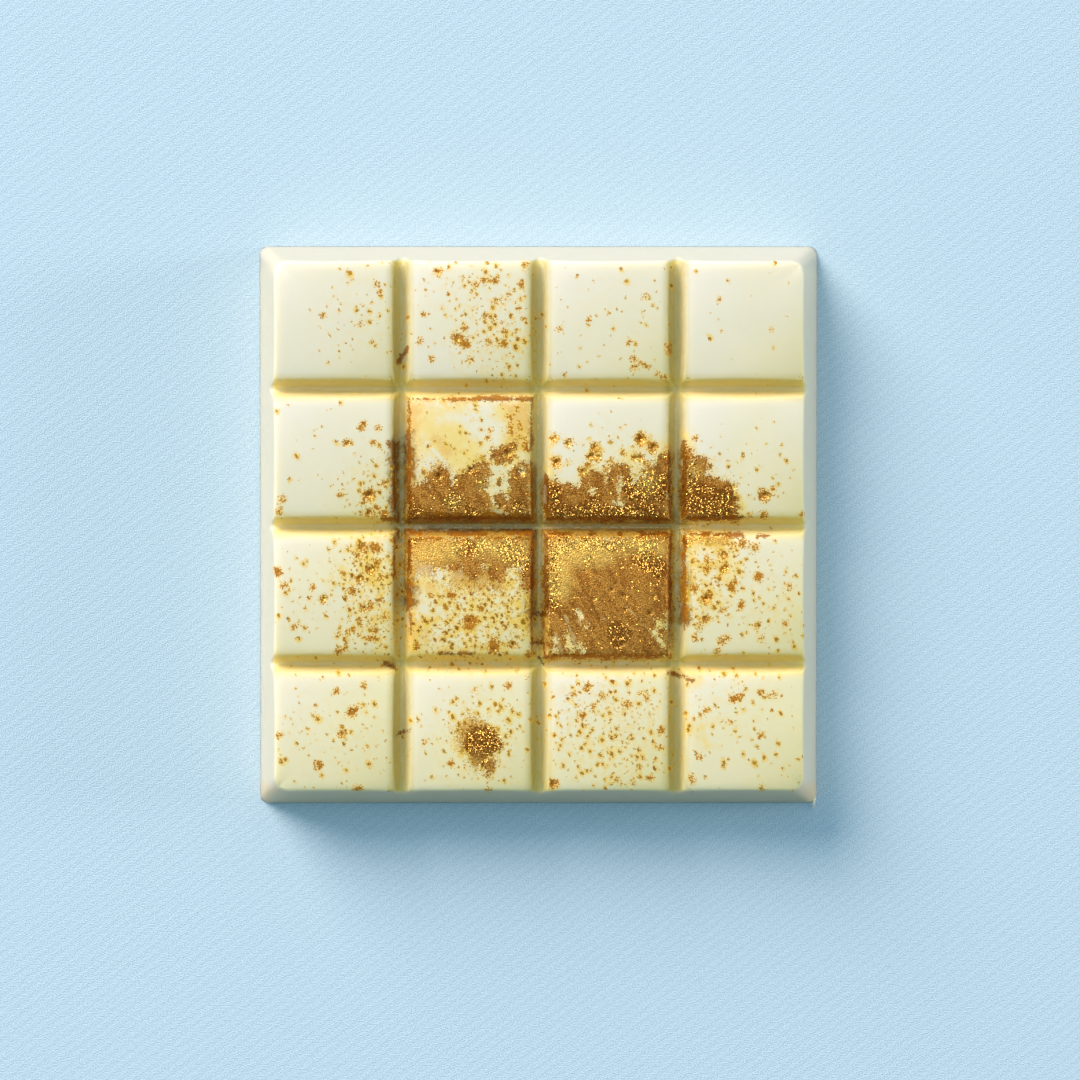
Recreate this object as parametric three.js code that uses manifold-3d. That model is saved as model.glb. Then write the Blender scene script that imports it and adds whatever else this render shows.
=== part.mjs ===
// A square tablet of white chocolate, lying on the flat back that was poured last.
// Its softly crowned squares stand between V grooves, which run out through the sloping side walls.
// Millimetres, +Z up. The origin is the middle of the flat back.
import * as THREE from "three";
import { mergeVertices } from "three/addons/utils/BufferGeometryUtils.js";
import Module from "manifold-3d";

// The bar as a whole
const SIDE = 90; // outline of the back, each way
const HEIGHT = 11.5; // from the back to the middle of a square
const SQUARES = 4; // squares along each side
const PITCH = 22; // from one groove to the next
const WALL_LEAN = 14.7; // degrees that the side walls lean in from the upright
const BACK_CORNER_RADIUS = 1.3; // the bar's upright corners, at the back
const TOP_CORNER_RADIUS = 2.4; // the same corners, at the top
const CORNER_FADE = 4; // how far in from the top's edge the corners' rounding dies out

// A square's top
const CROWN = 0.35; // fall from its middle to the middle of a side
const CORNER_FALL = 0.35; // further fall at its corners
const BRIM = 0.15; // fall of the softened brim along each side
const BRIM_POWER = 16; // how closely that fall keeps to the edge

// The grooves
const GROOVE_DEPTH = 3.6; // below the middle of a square
const GROOVE_FLOOR = 0.7; // width of the flat floor
const GROOVE_MOUTH = 3; // width at the top, beside the middle of a square's side

// A thread of flash that the mould left at one corner of the back
const FLASH_ROOT = [44.72, -43.9];
const FLASH_LENGTH = 2.17;
const FLASH_TURN = -9.5; // degrees from straight down the Y axis
const FLASH_ROOT_WIDTH = 0.56;
const FLASH_TIP_WIDTH = 0.44;
const FLASH_THICKNESS = 0.3;
const FLASH_ARC_SEGMENTS = 6;

// How finely the surface is divided
const CROWN_STEPS = [-1, -0.92, -0.76, -0.45, 0, 0.45, 0.76, 0.92, 1]; // across a square
const WALL_STEPS = [0, 0.22, 0.6, 1]; // up a side wall, from the back to the level of the grooves' floor

const CREAM = 0xf4eccf;
const CHOCOLATE_ROUGHNESS = 0.45;

const wallInset = Math.tan(THREE.MathUtils.degToRad(WALL_LEAN)); // for each millimetre of height
const grooveFloorHeight = HEIGHT - GROOVE_DEPTH;
const grooveWallHeight = crownHeight(1, 0) - grooveFloorHeight;
const grooveSpread = (GROOVE_MOUTH - GROOVE_FLOOR) / 2 / grooveWallHeight;

// Height of a square's top at u, v, which run from -1 to 1 across it.
function crownHeight(u, v) {
  const fall = CROWN * (u * u + v * v) + CORNER_FALL * u * u * v * v;
  const brim = BRIM * (Math.abs(u) ** BRIM_POWER + Math.abs(v) ** BRIM_POWER);
  return HEIGHT - fall - brim;
}

function squareCentre(square) {
  return (square - (SQUARES - 1) / 2) * PITCH;
}

// From a square's centre to its edge on one side, at v along that edge.
// The edge bows in at its middle, where the top is highest and the walls below it lean out.
function reach(square, side, v) {
  const edgeHeight = crownHeight(1, v);
  const outermost = square === (side < 0 ? 0 : SQUARES - 1);
  if (outermost) return SIDE / 2 - squareCentre(SQUARES - 1) - edgeHeight * wallInset;
  return (PITCH - GROOVE_FLOOR) / 2 - (edgeHeight - grooveFloorHeight) * grooveSpread;
}

// The lines that divide the surface along one axis, in order: up the first side wall, over each
// square and each groove's floor, and down the last side wall.
function stations() {
  const wall = (side) =>
    WALL_STEPS.map((step) => ({ kind: "wall", side, inset: step * grooveFloorHeight * wallInset }));
  const list = wall(-1);
  for (let square = 0; square < SQUARES; square++) {
    for (const u of CROWN_STEPS) list.push({ kind: "crown", square, u });
    if (square === SQUARES - 1) continue;
    const groove = squareCentre(square) + PITCH / 2;
    list.push({ kind: "floor", at: groove - GROOVE_FLOOR / 2 });
    list.push({ kind: "floor", at: groove + GROOVE_FLOOR / 2 });
  }
  return list.concat(wall(1).reverse());
}

// Where a station lies along its axis, beside the other axis's station.
function place(station, other) {
  if (station.kind === "wall") return station.side * (SIDE / 2 - station.inset);
  if (station.kind === "floor") return station.at;
  const v = other.kind === "crown" ? other.u : 1;
  const side = Math.sign(station.u);
  return squareCentre(station.square) + station.u * reach(station.square, side, v);
}

// The most height that a station's own wall or groove leaves there.
function ceiling(station) {
  if (station.kind === "wall") return station.inset / wallInset;
  return station.kind === "floor" ? grooveFloorHeight : Infinity;
}

function heightAt(a, b) {
  if (a.kind === "crown" && b.kind === "crown") return crownHeight(a.u, b.u);
  return Math.min(ceiling(a), ceiling(b));
}

// Plan radius of the bar's corners at a given distance in from the back's outline.
function cornerRadius(inset) {
  const topInset = crownHeight(1, 1) * wallInset;
  if (inset > topInset) return TOP_CORNER_RADIUS * Math.max(0, 1 - (inset - topInset) / CORNER_FADE);
  return THREE.MathUtils.lerp(BACK_CORNER_RADIUS, TOP_CORNER_RADIUS, inset / topInset);
}

// Moves a point near one of the bar's corners on to the rounded outline at its distance from the edge.
function roundCorner(x, y) {
  const gapX = SIDE / 2 - Math.abs(x);
  const gapY = SIDE / 2 - Math.abs(y);
  const inset = Math.min(gapX, gapY);
  const along = Math.abs(gapX - gapY);
  const radius = cornerRadius(inset);
  if (along >= radius) return [x, y];
  const angle = (Math.PI / 4) * (1 - along / radius);
  const near = SIDE / 2 - inset - radius * (1 - Math.cos(angle));
  const far = SIDE / 2 - inset - radius * (1 - Math.sin(angle));
  const [reachX, reachY] = gapX < gapY ? [near, far] : [far, near];
  return [Math.sign(x) * reachX, Math.sign(y) * reachY];
}

// Which side of the nearest square's centre the cell after a station lies on.
function cellSide(list, index) {
  const middle = (place(list[index], list[index]) + place(list[index + 1], list[index + 1])) / 2;
  const square = THREE.MathUtils.clamp(Math.floor(middle / PITCH + SQUARES / 2), 0, SQUARES - 1);
  return middle < squareCentre(square) ? -1 : 1;
}

function tabletGeometry() {
  const list = stations();
  const count = list.length;
  const positions = [];
  for (const b of list) {
    for (const a of list) positions.push(...roundCorner(place(a, b), place(b, a)), heightAt(a, b));
  }
  const faces = [];
  const vertex = (i, j) => j * count + i;

  // The top and the walls. Each cell is split along the line that runs away from its square's centre,
  // so that the squares' corners and the grooves' crossings keep their straight ridges.
  for (let j = 0; j < count - 1; j++) {
    for (let i = 0; i < count - 1; i++) {
      const [p, q, r, s] = [vertex(i, j), vertex(i + 1, j), vertex(i + 1, j + 1), vertex(i, j + 1)];
      const outward = cellSide(list, i) === cellSide(list, j);
      faces.push(...(outward ? [p, q, r, p, r, s] : [p, q, s, q, r, s]));
    }
  }

  // The flat back, as a fan from its middle.
  const last = count - 1;
  const rim = [];
  for (let i = 0; i < last; i++) rim.push(vertex(i, 0));
  for (let j = 0; j < last; j++) rim.push(vertex(last, j));
  for (let i = last; i > 0; i--) rim.push(vertex(i, last));
  for (let j = last; j > 0; j--) rim.push(vertex(0, j));
  const hub = positions.length / 3;
  positions.push(0, 0, 0);
  rim.forEach((corner, k) => faces.push(hub, rim[(k + 1) % rim.length], corner));

  const geometry = new THREE.BufferGeometry();
  geometry.setAttribute("position", new THREE.Float32BufferAttribute(positions, 3));
  geometry.setIndex(faces);
  return geometry;
}

// The thread of flash: a flat tongue with a round end, which starts inside the corner.
function flashGeometry() {
  const tipRadius = FLASH_TIP_WIDTH / 2;
  const outline = new THREE.Shape();
  outline.moveTo(FLASH_ROOT_WIDTH / 2, 0);
  outline.lineTo(-FLASH_ROOT_WIDTH / 2, 0);
  outline.absarc(0, tipRadius - FLASH_LENGTH, tipRadius, Math.PI, 2 * Math.PI, false);
  outline.closePath();
  const geometry = new THREE.ExtrudeGeometry(outline, {
    depth: FLASH_THICKNESS,
    bevelEnabled: false,
    curveSegments: FLASH_ARC_SEGMENTS,
  });
  geometry.rotateZ(THREE.MathUtils.degToRad(FLASH_TURN));
  return geometry.translate(...FLASH_ROOT, 0);
}

const wasm = await Module();
wasm.setup();

function toSolid(geometry) {
  const shape = new THREE.BufferGeometry();
  shape.setAttribute("position", geometry.getAttribute("position"));
  shape.setIndex(geometry.index);
  const merged = mergeVertices(shape);
  return new wasm.Manifold(
    new wasm.Mesh({
      numProp: 3,
      vertProperties: merged.getAttribute("position").array,
      triVerts: new Uint32Array(merged.index.array),
    }),
  );
}

function toGeometry(solid) {
  const { vertProperties, triVerts } = solid.getMesh();
  const geometry = new THREE.BufferGeometry();
  geometry.setAttribute("position", new THREE.BufferAttribute(vertProperties, 3));
  geometry.setIndex(new THREE.BufferAttribute(triVerts, 1));
  geometry.computeVertexNormals();
  return geometry;
}

function chocolateBar() {
  const solid = toSolid(tabletGeometry()).add(toSolid(flashGeometry()));
  const material = new THREE.MeshStandardMaterial({
    color: CREAM,
    roughness: CHOCOLATE_ROUGHNESS,
    metalness: 0,
    flatShading: true,
  });
  const bar = new THREE.Mesh(toGeometry(solid), material);
  bar.name = "bar";
  return bar;
}

const tablet = new THREE.Group();
tablet.add(chocolateBar());

export default tablet;
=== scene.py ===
import math

import bpy
import numpy as np
from mathutils import Matrix, Vector


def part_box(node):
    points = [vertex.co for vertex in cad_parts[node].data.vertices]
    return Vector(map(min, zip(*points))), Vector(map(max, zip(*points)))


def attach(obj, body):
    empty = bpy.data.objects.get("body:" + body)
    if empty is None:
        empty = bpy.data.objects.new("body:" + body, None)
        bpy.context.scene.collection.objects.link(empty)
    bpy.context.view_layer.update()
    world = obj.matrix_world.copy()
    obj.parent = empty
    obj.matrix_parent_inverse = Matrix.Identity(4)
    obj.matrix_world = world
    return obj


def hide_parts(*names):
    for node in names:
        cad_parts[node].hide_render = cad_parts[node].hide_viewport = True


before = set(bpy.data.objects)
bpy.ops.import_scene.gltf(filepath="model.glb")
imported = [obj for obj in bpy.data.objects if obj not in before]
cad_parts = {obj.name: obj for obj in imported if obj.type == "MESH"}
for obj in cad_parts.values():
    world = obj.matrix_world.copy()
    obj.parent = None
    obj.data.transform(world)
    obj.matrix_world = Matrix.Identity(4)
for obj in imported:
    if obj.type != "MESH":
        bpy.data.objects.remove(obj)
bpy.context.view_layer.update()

MM = 0.001
SEED = 7

# The bar's own sizes
bar_low, bar_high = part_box("bar")
SIDE = (bar_high.x - bar_low.x) / MM
HEIGHT = (bar_high.z - bar_low.z) / MM
SQUARES = 4  # along each side
PITCH = 22  # from one groove to the next
WALL_LEAN = math.radians(14.7)  # of the side walls, from the upright
BACK_CORNER_RADIUS = 1.3
TOP_CORNER_RADIUS = 2.4
CORNER_FADE = 4  # how far in from the top's edge the corners' rounding dies out
CROWN = 0.35  # fall from a square's middle to the middle of a side
CORNER_FALL = 0.35  # further fall at its corners
BRIM = 0.15  # fall of its softened brim
BRIM_POWER = 16  # how closely that fall keeps to the edge
GROOVE_DEPTH = 3.6
GROOVE_FLOOR = 0.7  # width of a groove's floor
GROOVE_MOUTH = 3  # its width at the top

# The thread of flash at one corner
FLASH_ROOT = (44.72, -43.9)
FLASH_LENGTH = 2.1
FLASH_TURN = math.radians(-9.5)
FLASH_WIDTH = 0.42
FLASH_THICKNESS = 0.28
FLASH_TAPER = 0.15  # how much narrower it is at its end
FLASH_BLUNTNESS = 6  # how closely its round end keeps to the tip
FLASH_TIP = 0.02  # how wide the very tip stays, by its width
FLASH_SWAY = 0.04  # how far it bends to one side
FLASH_BEND = 3  # how far along a sine it bends, in radians

# How soft the moulded edges are, as a height over which two surfaces blend
BRIM_BLEND = 0.5
CORNER_BLEND = 0.8
FLOOR_BLEND = 0.5

# How uneven the surface is
WAVES = ((0.05, 5.0), (0.02, 1.6))  # depth and spacing of each set of waves
WAVES_FADE = (1, 4)  # heights between which the waves grow to their full depth
PIT_DEPTH = 0.45  # of a dent's radius
PIT_PAINTED_SIDE = 0.5  # radius of a dent's painted shade and painted highlight, by the dent's own
PIT_PAINTED_SHIFT = 0.38  # how far that side's middle is from the dent's, by the same

# How finely the surface is divided
FINE_STEP = 0.31  # across the two middle squares, where most of the dust lies
COARSE_STEP = 0.46
EDGE_STEPS = (0.0, 0.09, 0.2, 0.34, 0.52, 0.75)  # in from a square's edge
WALL_STEPS = (0.05, 0.12, 0.22, 0.36, 0.52, 0.68, 0.82, 0.92, 1.0)  # down a wall, from the edge
FLOOR_STEPS = (0.16, 0.5, 0.84)  # across a groove's floor
FLASH_AROUND = 10
FLASH_ALONG = 9

# How the marks spread
CLOUD_SPAN = 1.3  # width of the lattice of random values, by the bar's own
CLOUD_START = 0.6  # how far from the middle it starts, by the same
MARK_LIMIT = 10.2  # how far from its square's centre a mark can reach
MARK_WANDER = 0.6  # how far the edges of soft marks wander in and out, in all
MARK_WANDER_CELL = 2.4
DRIFT_CELL = 8.0  # size of the chocolate's warmer drifts
SIDE_FADE = 1.2  # how far below the top the side walls' own colour is full
TOLERANCE = 0.01  # between heights that count as one
FAR_OUTSIDE = -3.0  # the depth given to points far from every mark
LAYERS_NONE_BELOW = ("specks", "side")  # layers that are 0 on the back, where the others are far outside

LAST = SQUARES - 1
wall_inset = math.tan(WALL_LEAN)
floor_height = HEIGHT - GROOVE_DEPTH


def crown_height(u, v):
    """Height of a square's top at u, v, which run from -1 to 1 across it."""
    fall = CROWN * (u * u + v * v) + CORNER_FALL * u * u * v * v
    return HEIGHT - fall - BRIM * (np.abs(u) ** BRIM_POWER + np.abs(v) ** BRIM_POWER)


groove_spread = (GROOVE_MOUTH - GROOVE_FLOOR) / 2 / (crown_height(1, 0) - floor_height)
OUTER_STOP = SIDE / 2 - (LAST / 2) * PITCH  # from an outer square's centre to the back's outline
GROOVE_STOP = (PITCH - GROOVE_FLOOR) / 2  # from a square's centre to a groove's floor
SQUARE_REACH = (PITCH - GROOVE_MOUTH) / 2  # from a square's centre to the middle of its side


def square_centre(square):
    return (square - LAST / 2) * PITCH


def station_list():
    """Lines that divide the surface along one axis: (square, side, weight, offset, bow) each.

    A line lies weight times the reach plus offset away from its square's centre, towards its side. The
    reach is from the centre to the edge, and it changes along the edge with the other axis's bow.
    """
    stations = []
    for square in range(SQUARES):
        stops = {
            side: OUTER_STOP if square == (0 if side < 0 else LAST) else GROOVE_STOP
            for side in (-1, 1)
        }
        step = COARSE_STEP if square in (0, LAST) else FINE_STEP
        inner = SQUARE_REACH - EDGE_STEPS[-1]
        count = round(inner / step)
        reach = [SQUARE_REACH - edge for edge in EDGE_STEPS]
        reach += [inner * (count - k) / count for k in range(1, count + 1)]
        across = [r / SQUARE_REACH for r in reach]
        for t in reversed(WALL_STEPS):
            stations.append((square, -1, 1 - t, t * stops[-1], -1))
        for u in across:
            stations.append((square, -1, u, 0, -u))
        for u in across[-2::-1]:
            stations.append((square, 1, u, 0, u))
        for t in WALL_STEPS:
            stations.append((square, 1, 1 - t, t * stops[1], 1))
        if square < LAST:
            for share in FLOOR_STEPS:
                stations.append((square, 1, 0, GROOVE_STOP + share * GROOVE_FLOOR, 1))
    return np.array(stations, float)


def reach_at(square, side, bow):
    """From a square's centre to its edge on one side, at a place along that edge."""
    edge_height = crown_height(1, bow)
    outermost = square == np.where(side < 0, 0, LAST)
    outer = OUTER_STOP - edge_height * wall_inset
    inner = GROOVE_STOP - (edge_height - floor_height) * groove_spread
    return np.where(outermost, outer, inner)


def smooth_min(a, b, blend):
    near = np.clip(blend - np.abs(a - b), 0, None)
    return np.minimum(a, b) - near**2 / (4 * blend)


def smooth_max(a, b, blend):
    return -smooth_min(-a, -b, blend)


def cloud(x, y, cell, seed):
    """Smooth random values from 0 to 1 over the plane, which change over about one cell."""
    size = 2 + int(SIDE * CLOUD_SPAN / cell)
    lattice = np.random.default_rng(SEED + seed).random((size, size))
    gx, gy = (x + SIDE * CLOUD_START) / cell, (y + SIDE * CLOUD_START) / cell
    ix = np.clip(np.floor(gx).astype(int), 0, size - 2)
    iy = np.clip(np.floor(gy).astype(int), 0, size - 2)
    fx, fy = np.clip(gx - ix, 0, 1), np.clip(gy - iy, 0, 1)
    fx, fy = fx * fx * (3 - 2 * fx), fy * fy * (3 - 2 * fy)
    low = lattice[ix, iy] * (1 - fx) + lattice[ix + 1, iy] * fx
    high = lattice[ix, iy + 1] * (1 - fx) + lattice[ix + 1, iy + 1] * fx
    return low * (1 - fy) + high * fy


def round_corners(x, y):
    """Moves points near the bar's corners on to the rounded outline at their distance from the edge."""
    gap_x, gap_y = SIDE / 2 - np.abs(x), SIDE / 2 - np.abs(y)
    inset, along = np.minimum(gap_x, gap_y), np.abs(gap_x - gap_y)
    top_inset = crown_height(1, 1) * wall_inset
    on_wall = BACK_CORNER_RADIUS + (TOP_CORNER_RADIUS - BACK_CORNER_RADIUS) * inset / top_inset
    on_top = TOP_CORNER_RADIUS * np.clip(1 - (inset - top_inset) / CORNER_FADE, 0, 1)
    radius = np.maximum(np.where(inset > top_inset, on_top, on_wall), 1e-6)
    turned = along < radius
    angle = math.pi / 4 * (1 - along / radius)
    near = SIDE / 2 - inset - radius * (1 - np.cos(angle))
    far = SIDE / 2 - inset - radius * (1 - np.sin(angle))
    x_nearer = gap_x < gap_y
    new_x = np.where(turned, np.sign(x) * np.where(x_nearer, near, far), x)
    new_y = np.where(turned, np.sign(y) * np.where(x_nearer, far, near), y)
    return new_x, new_y


def wall_height(stations, place):
    """The most height that the walls and grooves of one axis leave, at each place along it."""
    square, side = stations[:, 0][:, None], stations[:, 1][:, None]
    distance = side * (place - square_centre(square))
    outermost = square == np.where(side < 0, 0, LAST)
    outer = (OUTER_STOP - distance) / wall_inset
    groove = smooth_max(
        floor_height + (GROOVE_STOP - distance) / groove_spread,
        np.full_like(distance, floor_height),
        FLOOR_BLEND,
    )
    return np.where(outermost, outer, groove)


# Painted shade in the grooves: how golden and dark a groove is painted across it, as (place, share), where
# the place runs from -1 at the brim of the wall away from the light to 1 at the brim of the other wall.
GROOVE_PAINTED_SHADE = (
    (-1.7, 0.0), (-1.2, 0.4), (-0.9, 0.9), (-0.1, 0.55), (0.3, 0.6), (0.6, 0.75), (1.0, 0.55), (1.5, 0.0),
)

# Marks, in millimetres from the middle of their square, by row from the top and column from the left.
# A round mark is (x, y, radius), and a stroke is (x1, y1, x2, y2, radius).
DUST = {
    (2, 2): [
        (-7.0, -6.8, 0.4, -6.8, 2.9), (-9.4, -9.4, 2.4, -9.6, 1.0), (5.0, -9.6, 9.4, -9.6, 0.9),
        (-8.7, -8.4, -8.8, -5.4, 1.1), (-4.9, -3.5, 2.1), (-0.8, -4.0, 1.6, -3.2, 1.9),
        (0.2, -1.9, 2.4, -1.0, 0.8), (3.4, 0.0, 6.6, 1.8, 0.7), (4.6, -1.0, 6.4, 0.2, 0.6),
        (7.9, -2.6, 7.8, -7.6, 1.7), (4.4, -2.5, 5.0, -5.7, 0.3), (4.6, -6.8, 5.8, -8.2, 1.0),
    ],
    (2, 3): [
        (-7.4, -7.2, 7.0, -7.2, 3.0), (-9.4, -9.6, 9.4, -9.6, 1.2), (-9.0, -4.8, 1.4), (-2.3, -4.4, 2.2),
        (1.7, -3.0, 2.2), (7.4, -3.8, 2.6), (9.0, -1.0, 9.0, -5.0, 1.5),
    ],
    (2, 4): [
        (-9.4, 0.6, -9.0, -3.0, 1.2), (-7.4, -1.4, 1.6), (-7.4, -5.0, -4.6, -5.6, 2.6),
        (-7.8, -8.0, -3.2, -7.6, 2.2), (-9.4, -9.4, -2.0, -9.6, 0.9), (-9.4, -9.0, -9.4, 0.0, 0.9),
    ],
    (3, 2): [
        (-7.4, 7.2, 7.2, 7.0, 2.4), (0.4, 4.4, 1.8), (4.6, 4.2, 2.0), (-2.6, 5.0, 1.3),
        (9.2, 8.0, 9.2, 1.0, 0.9), (-9.4, 8.4, -9.6, 4.0, 0.8),
    ],
    (3, 3): [(-6.0, 0.0, 6.0, 0.0, 14.0)],
    (3, 4): [(-9.6, 8.8, -3.4, 9.0, 0.7)],
    (4, 2): [(1.8, -1.5, 3.0), (1.6, -3.8, 1.7), (3.1, -4.8, 1.3), (2.9, -6.1, 0.5)],
}

# Places where the dust is a thin, grainy film.
THIN_DUST = {
    (2, 2): [(-5.2, -2.8, 2.2), (-0.6, -3.0, 1.8, -2.2, 1.4)],
    (2, 3): [(-2.0, -3.6, 1.8, -2.2, 1.6), (6.4, -3.0, 9.0, -0.8, 1.6)],
    (2, 4): [(-3.0, -4.6, -2.4, -7.6, 1.2)],
    (3, 2): [(-8.0, 5.0, -4.0, 4.4, 2.4), (-3.0, 3.2, 7.0, 3.0, 2.3), (0.6, 1.6, 5.4, 1.4, 1.2)],
    (3, 3): [(5.4, -6.6, 9.0, -7.2, 1.8), (-6.6, -6.0, -4.0, -8.4, 2.2)],
    (4, 2): [(0.8, -0.6, 3.4), (1.6, -4.0, 2.2)],
}

# Places where the dust is missing.
BARE = {
    (2, 2): [
        (4.6, -1.6, 3.6, -4.2, 0.8), (5.8, -1.2, 5.6, -4.4, 0.5), (3.4, -5.0, 3.7, -8.7, 0.3),
        (8.2, -2.4, 0.4),
    ],
    (2, 3): [(1.9, -3.8, 1.9, -5.2, 0.35), (-2.6, -5.2, 0.4), (1.7, -7.2, 0.55), (5.2, -2.3, 0.6)],
    (3, 2): [
        (6.6, 3.4, 6.6, -1.6, 0.9), (-4.4, 3.0, -4.6, 0.8, 0.9), (-7.8, 9.6, -6.4, 9.6, 0.5),
        (-5.6, 9.7, -3.8, 9.7, 0.3), (3.0, 9.6, 5.2, 9.6, 0.5),
    ],
    (3, 3): [
        (8.5, -4.6, 0.8), (7.4, -6.0, 9.4, -8.4, 0.45), (-9.8, -3.4, -9.8, -9.0, 0.3),
        (9.7, -3.6, 9.7, -9.0, 0.5), (-6.5, -6.4, -5.8, -8.9, 0.5), (-8.6, -7.2, -8.3, -8.9, 0.45),
        (-4.5, -7.9, -4.0, -8.9, 0.3), (-4.8, -2.6, -3.4, -4.4, 0.16), (-5.6, 9.7, -3.4, 9.7, 0.5),
        (-1.2, 9.7, 1.0, 9.7, 0.45), (2.6, 9.7, 4.6, 9.7, 0.5),
    ],
}

# Thin orange and yellow stains.
STAIN = {
    (2, 2): [
        (-7.4, 5.0, -3.0, 3.2, 2.2), (-8.4, 7.6, -8.6, 0.6, 1.7), (-5.4, 3.4, -0.8, -0.6, 2.8),
        (-2.8, 4.2, 0.6, 1.4, 1.6), (-6.0, 7.0, -1.0, 8.4, 1.0), (6.0, 7.4, 8.4, 7.4, 2.2),
        (8.2, 7.6, 7.4, 2.2, 2.4), (-9.4, 8.6, -9.6, -2.0, 1.3), (-9.0, 9.2, 9.0, 9.4, 0.6),
        (0.6, -1.4, 1.6), (6.6, 0.6, 1.5),
    ],
    (2, 3): [(9.4, 2.0, 9.4, -2.0, 0.8), (-9.4, -2.4, 0.9), (-3.0, -2.6, 1.2), (3.4, 0.2, 1.4)],
    (2, 4): [(-9.6, 3.4, -9.4, 0.4, 0.6), (-0.8, -8.0, 1.2), (-8.0, -9.0, 0.0, -9.4, 0.9)],
    (3, 1): [(6.0, 5.0, 7.6, 2.0, 1.2)],
    (3, 2): [
        (-9.0, 8.0, -9.0, -2.2, 1.1), (-9.2, -2.0, -9.4, -8.0, 0.7), (-7.4, 2.6, -5.8, 1.0, 1.5),
        (-2.6, 2.4, 4.4, 2.0, 1.3), (-6.8, -3.4, -8.0, -7.6, 0.9), (-5.0, -9.2, 0.6, -9.2, 0.7),
        (9.0, 2.0, 9.2, -6.0, 0.9), (0.4, -1.6, 1.2), (4.0, -3.6, 1.0),
    ],
    (3, 3): [(-9.6, -3.0, -9.6, -9.0, 0.4), (-7.2, -7.4, -4.6, -7.6, 1.0), (8.4, -3.6, 9.2, -7.0, 1.0)],
    (3, 4): [
        (-8.4, 8.4, -4.0, 8.2, 1.7), (-8.8, 6.8, -8.6, 4.4, 1.2), (-3.6, 6.2, -3.2, 3.8, 1.5),
        (-6.4, 4.6, 1.3), (-6.2, -0.5, 1.6), (-8.6, 1.0, 1.0),
    ],
    (4, 2): [(0.8, -1.6, 3.4), (-0.2, 1.4, 1.2)],
    (4, 4): [(-8.8, 0.2, -5.2, 1.5, 0.25), (-7.2, -0.9, -5.4, -2.2, 0.25), (-9.6, 8.8, -8.0, 8.2, 0.7)],
}

# Places where a stain is deeper.
AMBER = {
    (2, 2): [
        (7.9, 7.8, 7.6, 3.0, 1.9), (-9.6, 8.6, -9.6, -3.0, 1.3), (-9.0, 9.2, 8.0, 9.2, 0.5),
        (2.4, -0.6, 5.4, 0.9, 0.7), (-5.4, 3.0, -3.4, 1.0, 0.7),
    ],
    (2, 3): [
        (-2.0, 1.0, 1.2), (5.8, 2.4, 1.3), (9.2, 1.0, 9.2, -1.0, 0.8), (-8.6, 2.8, 0.8), (-8.4, -0.8, 1.0),
    ],
    (3, 1): [(4.8, 7.6, 1.2), (6.0, 4.0, 1.4), (8.4, -3.6, 0.9)],
    (3, 2): [
        (-9.6, 8.0, -9.6, -1.0, 1.3), (-8.6, 1.8, -9.2, -8.6, 0.8), (-5.0, -9.2, 1.0, -9.2, 0.6),
        (-7.2, -6.4, 1.0), (0.4, -4.4, 1.5), (-3.0, 0.2, 1.1), (-6.2, 1.2, 0.9), (3.6, -8.2, 1.2),
    ],
    (3, 4): [(-7.6, 8.4, -4.4, 8.2, 0.9), (-5.2, 4.8, 1.5), (-6.2, -0.5, 1.2), (-6.4, -3.7, 0.8)],
    (4, 2): [(0.6, -1.2, 2.6), (-0.2, 1.8, 0.6)],
}

# Scratches through the dust and the stains.
SCRATCHES = {
    (2, 2): [(-6.8, 2.3, -2.5, -2.7, 0.35), (-7.6, 0.6, -5.4, -2.0, 0.2)],
    (3, 3): [
        (-4.9, -3.9, -3.0, -7.1, 0.14), (-6.8, -3.4, -5.2, -7.4, 0.22), (-8.4, -6.1, -7.3, -9.3, 0.18),
        (-5.9, -6.0, -5.2, -8.8, 0.1), (-2.0, -2.1, 0.2, -4.7, 0.12), (2.8, -1.8, 5.5, -3.9, 0.1),
        (0.2, -3.4, 2.8, -6.1, 0.08), (5.6, -4.6, 8.2, -7.2, 0.1),
    ],
}

# Places where the dust's flakes are coarse and glitter.
GLITTER = {
    (2, 2): [
        (2.1, -4.3, 1.0), (-2.7, -7.0, 1.6), (-9.1, -8.9, 1.3), (0.0, -8.6, 1.1), (-9.6, -1.4, 0.4),
        (-9.1, 9.2, 0.7), (7.8, -8.0, 0.8),
    ],
    (2, 3): [
        (-7.0, -9.0, 7.0, -9.0, 1.4), (4.6, -5.0, 8.2, -4.6, 2.2), (-8.8, -5.4, -8.8, -8.4, 1.0),
        (-2.4, -7.4, 1.3),
    ],
    (2, 4): [(-9.0, -1.0, -8.6, -4.0, 1.2), (-7.8, -6.4, -4.6, -7.4, 2.6), (-3.0, -6.0, 1.4)],
    (3, 2): [(-1.6, 7.8, 1.8, 7.8, 1.3), (6.2, 7.4, 8.4, 5.6, 1.8), (-9.2, 9.0, 1.0)],
    (3, 3): [
        (-7.0, 8.4, 7.0, 8.4, 1.3), (-8.8, 8.0, -8.8, -1.6, 1.0), (5.4, 6.0, 8.0, 4.4, 1.7),
        (1.8, -6.0, 1.8), (-3.0, 5.6, 0.9),
    ],
    (3, 4): [(-8.8, 8.4, 0.5), (-6.2, 8.4, 0.5), (-6.2, -0.5, 0.6), (-3.6, 6.5, 0.5), (-3.3, 4.4, 0.5)],
    (4, 2): [(1.9, -1.6, 2.5), (2.2, -4.4, 0.9)],
}
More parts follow.
